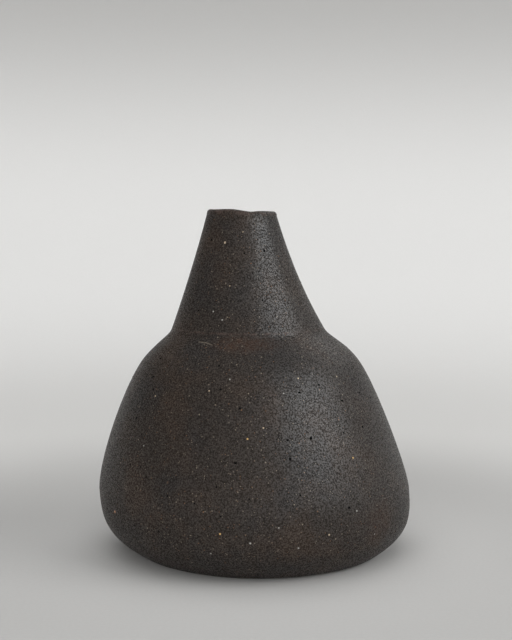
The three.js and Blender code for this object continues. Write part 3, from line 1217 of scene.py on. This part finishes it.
@dataclass
class Liner(Shell):
    """The skin of glaze over the floor, both coils and the wall, with an uneven edge below the rim."""

    def outer_line(self) -> list[Vector]:
        """The glossy face, from the middle of the floor up to the glaze's edge."""
        shape = self.form.outline
        cavity = shape.cavity(self.form.outside)
        face = evenly(inside(cavity, shape.skin_gap + shape.glaze, shape.skin_gap + shape.glaze), 1.2 * MM)
        face[-1] = face[-1] - Vector((-0.25 * MM, 0.2 * MM))
        return face

    def back_line(self) -> list[Vector]:
        """The side that lies on the clay, back down to the floor."""
        shape = self.form.outline
        return evenly(inside(shape.cavity(self.form.outside), shape.skin_gap, shape.skin_gap), 1.6 * MM)[::-1]

    def carve(self, mesh: bpy.types.Mesh) -> None:
        """Lets the glaze's edge run a little higher and lower round the mouth."""
        co = points_of(mesh)
        angle = np.arctan2(co[:, 0], -co[:, 1])
        top = self.form.outline.height - self.form.outline.glaze_end
        near = np.clip((co[:, 2] - top + 6 * MM) / (6 * MM), 0, 1) ** 2
        run = 0.35 * np.sin(5 * angle + 0.4) + 0.3 * np.sin(11 * angle + 2.0) + 0.2 * np.sin(17 * angle)
        co[:, 2] += near * (run - 0.5) * MM
        mesh.vertices.foreach_set("co", co.ravel())
        mesh.update()


# ---------------------------------------------------------------------------------------------------------
# The room, the light and the viewer
# ---------------------------------------------------------------------------------------------------------


@dataclass(frozen=True)
class Room:
    """A pale round sweep: a floor that turns up into a wall a long way off.

    Its tone is painted light and shade: it runs from a painted lighter patch under the pot outwards, greyer
    up high, and painted darker to the left and towards the viewer.
    """

    floor_radius: float = 0.6
    sweep: float = 1.7
    wall_height: float = 2.3
    # painted light and shade on the paper: lighter just under the pot, darker round it, paler further out,
    # greyer up high
    under: tuple[float, float, float] = (0.57, 0.568, 0.563)
    near: tuple[float, float, float] = (0.50, 0.498, 0.493)
    middle: tuple[float, float, float] = (0.72, 0.718, 0.71)
    far: tuple[float, float, float] = (0.92, 0.92, 0.917)
    high: tuple[float, float, float] = (0.575, 0.573, 0.567)
    shade: tuple[float, float, float] = (0.12, 0.12, 0.118)

    def build(self) -> bpy.types.Object:
        """Spins the sweep and gives it its matt paper finish.

        Returns:
            The sweep.
        """
        line = [Vector((r, 0.0)) for r in np.linspace(0, self.floor_radius, 12)]
        for turn in np.linspace(0, math.pi / 2, 49)[1:]:
            line.append(Vector((
                self.floor_radius + self.sweep * math.sin(turn),
                self.sweep * (1 - math.cos(turn)),
            )))
        line.append(Vector((self.floor_radius + self.sweep, self.wall_height)))
        spun = spin(line, 96, closed=False, weld=1e-5)
        bmesh.ops.recalc_face_normals(spun, faces=spun.faces)
        bmesh.ops.reverse_faces(spun, faces=spun.faces)
        mesh = bpy.data.meshes.new("paper_sweep")
        spun.to_mesh(mesh)
        spun.free()
        mesh.shade_smooth()
        sweep = placed("paper_sweep", mesh)
        mesh.materials.append(self._paper())
        return sweep

    def _paper(self) -> bpy.types.Material:
        """Matt paper with painted light and shade: its tone changes slowly with the distance from the pot,
        the height and the side.
        """
        g, shader, place, material = start_material("Matt paper")
        axes = g.add("SeparateXYZ", {"Vector": place})
        flat = g.add("CombineXYZ", {"X": axes.outputs["X"], "Y": axes.outputs["Y"]}).outputs[0]
        away = g.vector("LENGTH", flat).outputs[1]
        # painted light under the pot and painted shade in a ring round it, paler further out
        colour = g.blend(g.ramp(away, 0.07, 0.22), self.under, self.near)
        colour = g.blend(g.ramp(away, 0.13, 0.36), colour, self.middle)
        colour = g.blend(g.ramp(away, 0.32, 1.1), colour, self.far)
        # painted shade: greyer paper up high
        colour = g.blend(g.ramp(axes.outputs["Z"], 0.14, 0.6), colour, self.high)
        # painted shade: darker paper far to the left and towards the viewer
        colour = g.blend(g.ramp(axes.outputs["X"], -1.5, -0.75, 0.5, 0.0), colour, self.shade)
        colour = g.blend(g.ramp(axes.outputs["Y"], -0.45, -0.08, 0.2, 0.0), colour, self.shade)
        weave = g.noise(place, 1.6 * MM, 3.0, 0.6)
        colour = g.scaled(colour, g.ramp(weave, 0.3, 0.7, 0.985, 1.015))
        g.feed(shader, {"Base Color": colour, "Roughness": 0.95, "Specular IOR Level": 0.0})
        return material


@dataclass(frozen=True)
class SoftLight:
    """One big soft light by angle round the pot and up from the floor, in degrees."""

    name: str
    degrees: float
    rise: float
    distance: float
    width: float
    tall: float
    power: float
    colour: tuple[float, float, float] = (1.0, 0.995, 0.985)
    aim: tuple[float, float, float] = LIGHT_AIM
    gloss: bool = True
    diffuse: bool = True

    def build(self) -> bpy.types.Object:
        """Hangs the light, facing what it is aimed at."""
        lamp = bpy.data.lights.new(self.name, "AREA")
        lamp.shape, lamp.size, lamp.size_y = "RECTANGLE", self.width, self.tall
        lamp.energy, lamp.color = self.power, self.colour
        holder = placed(self.name, lamp)
        around, up = math.radians(self.degrees), math.radians(self.rise)
        way = Vector((math.sin(around) * math.cos(up), -math.cos(around) * math.cos(up), math.sin(up)))
        holder.location = Vector(LIGHT_AIM) + way * self.distance
        holder.rotation_euler = (holder.location - Vector(self.aim)).to_track_quat("Z", "Y").to_euler()
        holder.visible_camera = False
        holder.visible_glossy = self.gloss
        holder.visible_diffuse = self.diffuse
        return holder


@dataclass(frozen=True)
class Viewer:
    """Where the pot is looked at from."""

    place: tuple[float, float, float] = (0.91 * MM, -634.8 * MM, 171.2 * MM)
    down: float = 5.249
    lens: float = 73.125

    def build(self) -> bpy.types.Object:
        """Sets the camera up and makes it the scene's."""
        camera = bpy.data.cameras.new("viewer")
        camera.lens, camera.sensor_width, camera.sensor_fit = self.lens, 36.0, "AUTO"
        camera.clip_start, camera.clip_end = 0.02, 20.0
        holder = placed("viewer", camera)
        holder.location = self.place
        holder.rotation_euler = (math.radians(90 - self.down), 0, 0)
        bpy.context.scene.camera = holder
        return holder


def light_the_air(strength: float, colour: tuple[float, float, float]) -> None:
    """Gives the room its even daylight."""
    world = bpy.data.worlds.new("daylight")
    world.use_nodes = True
    sky = world.node_tree.nodes["Background"]
    sky.inputs["Color"].default_value = (*colour, 1.0)
    sky.inputs["Strength"].default_value = strength
    bpy.context.scene.world = world


# ---------------------------------------------------------------------------------------------------------
# The whole vase
# ---------------------------------------------------------------------------------------------------------

BODY_GRAINS = (
    Grain(-5.9, 79.5, 1.15, Tone.PEACH),
    Grain(-0.9, 66.5, 0.75, Tone.STRAW),
    Grain(41.0, 54.9, 0.95, Tone.STRAW),
    Grain(-11.9, 25.3, 0.8, Tone.STRAW),
    Grain(-12.6, 85.6, 0.8, Tone.CHALK),
    Grain(23.5, 91.1, 0.75, Tone.CREAM),
    Grain(46.6, 89.9, 0.6, Tone.CREAM),
    Grain(-58.8, 26.7, 1.0, Tone.PEACH),
    Grain(-11.8, 47.8, 0.75, Tone.PEACH),
    Grain(30.8, 79.1, 0.6, Tone.PEACH),
    Grain(25.6, 22.9, 0.75, Tone.CREAM),
    Grain(-1.5, 21.2, 0.75, Tone.CHALK),
)
BODY_PITS = (
    Pit(22.8, 84.8, 1.25, 0.7),
    Pit(14.4, 57.3, 1.1, 0.6),
    Pit(-5.8, 56.0, 1.2, 0.6),
    Pit(39.4, 66.5, 0.9, 0.5),
    Pit(24.0, 65.5, 1.1, 0.6),
    Pit(-51.2, 50.0, 0.95, 0.5),
    Pit(14.5, 65.3, 0.75, 0.5),
    Pit(29.1, 80.1, 0.75, 0.5),
)
NECK_GRAINS = (
    Grain(-22.1, 151.3, 0.85, Tone.CREAM),
    Grain(-27.8, 119.3, 0.7, Tone.CHALK),
    Grain(-19.3, 115.9, 0.65, Tone.CHALK),
)
NECK_PITS = (Pit(17.6, 138.3, 0.9, 0.5), Pit(16.5, 125.0, 0.8, 0.45))
FLASHES = (
    FlashSpot((-5.0, -41.0, 105.2), (24.0, 14.0, 5.5), 0.5),
    FlashSpot((58.0, -49.0, 24.0), (14.0, 14.0, 16.0), 0.35),
    FlashSpot((-24.0, 34.0, 100.0), (22.0, 16.0, 8.0), 0.4),
)
SCRATCHES = (
    ((-25.6, -32.7, 105.6), (-22.6, -34.9, 105.7)),
    ((-22.6, -34.9, 105.7), (-19.2, -37.4, 104.5)),
)


@dataclass
class Vase:
    """The whole pot, piece by piece from the floor up."""

    form: Form
    effects: Effects

    def build(self) -> list[bpy.types.Object]:
        """Builds and dresses every piece.

        Returns:
            The pieces.
        """
        clay = BareClay(flashes=FLASHES, scratches=SCRATCHES).material(self.effects)
        luting = BareClay(
            name="Rough luting clay", dark=(0.030, 0.024, 0.020), warm=(0.042, 0.031, 0.024), roughness=0.62,
            tooth=1.1 * MM,
        ).material(self.effects)
        glaze = WetGlaze().material(self.effects)
        body_skin = Scatter(10, 104, pits=90, grains=120, seed=5)
        neck_skin = Scatter(114, 160, pits=18, grains=34, seed=8)
        form = self.form
        made = [
            (BaseSlab("base_disc", "base_slab", Slot.STONEWARE, form), clay),
            (
                BodyWall(
                    "body_shell", "body_wall", Slot.STONEWARE, form,
                    skin=self._skin(body_skin, BODY_PITS, BODY_GRAINS),
                ),
                clay,
            ),
            (
                NeckCone(
                    "neck_shell", "neck_cone", Slot.STONEWARE, form, steps=256,
                    skin=self._skin(neck_skin, NECK_PITS, NECK_GRAINS),
                ),
                clay,
            ),
            (Coil("floor_corner_coil", "floor_coil", Slot.LUTING, form, steps=192), luting),
            (Coil("neck_joint_coil", "neck_coil", Slot.LUTING, form, steps=160, at_neck=True), luting),
            (Liner("glazed_inside", "glaze_liner", Slot.GLAZE, form, steps=192), glaze),
        ]
        pieces = []
        for shell, finish in made:
            piece = shell.build()
            piece.data.materials.append(finish)
            faces = len(piece.data.polygons)
            LOG.info("%s: %d faces, %s, for %s", piece.name, faces, finish.name, shell.node)
            pieces.append(piece)
        return pieces

    def _skin(self, scatter: Scatter, pits: Iterable[Pit], grains: Iterable[Grain]) -> Skin:
        """The pits and grains of one piece, the listed ones first."""
        return Skin(self.form, [*pits, *scatter.pits_here()], [*grains, *scatter.grains_here()])


def main() -> None:
    """Builds the vase, the room, the light and the viewer."""
    logging.basicConfig(level=logging.INFO, format="%(name)s: %(message)s")
    outline = Outline.from_frame()
    sway = Sway(outline.height, outline.crease_height, outline.belly_height)
    form = Form(outline, sway, HandWork())
    Viewer().build()
    Vase(form, Effects()).build()
    Room().build()
    for light in (
        SoftLight("window", 67, 28, 2.0, 1.6, 1.3, 18.0),
        SoftLight("window_sheen", 59, 30, 2.0, 2.0, 1.3, 52.0, (0.87, 0.955, 1.0), diffuse=False),
        SoftLight("window_back", 138, 40, 2.0, 1.2, 0.8, 6.0, diffuse=False),
        SoftLight("ceiling", 0, 90, 2.3, 2.6, 2.6, 16.0, gloss=False),
        SoftLight("front_fill", -8, 42, 2.2, 1.8, 1.4, 8.0, gloss=False),
        SoftLight("low_fill", -8, 10, 1.0, 1.2, 0.3, 4.2, gloss=False),
        SoftLight("wall_light", 180, 62, 1.9, 1.6, 1.0, 4.0, aim=(0.0, 1.5, 0.0), gloss=False),
    ):
        light.build()
    light_the_air(0.285, (1.0, 1.0, 0.985))
    bpy.context.scene.view_settings.view_transform = "Standard"


if __name__ == "__main__":
    main()
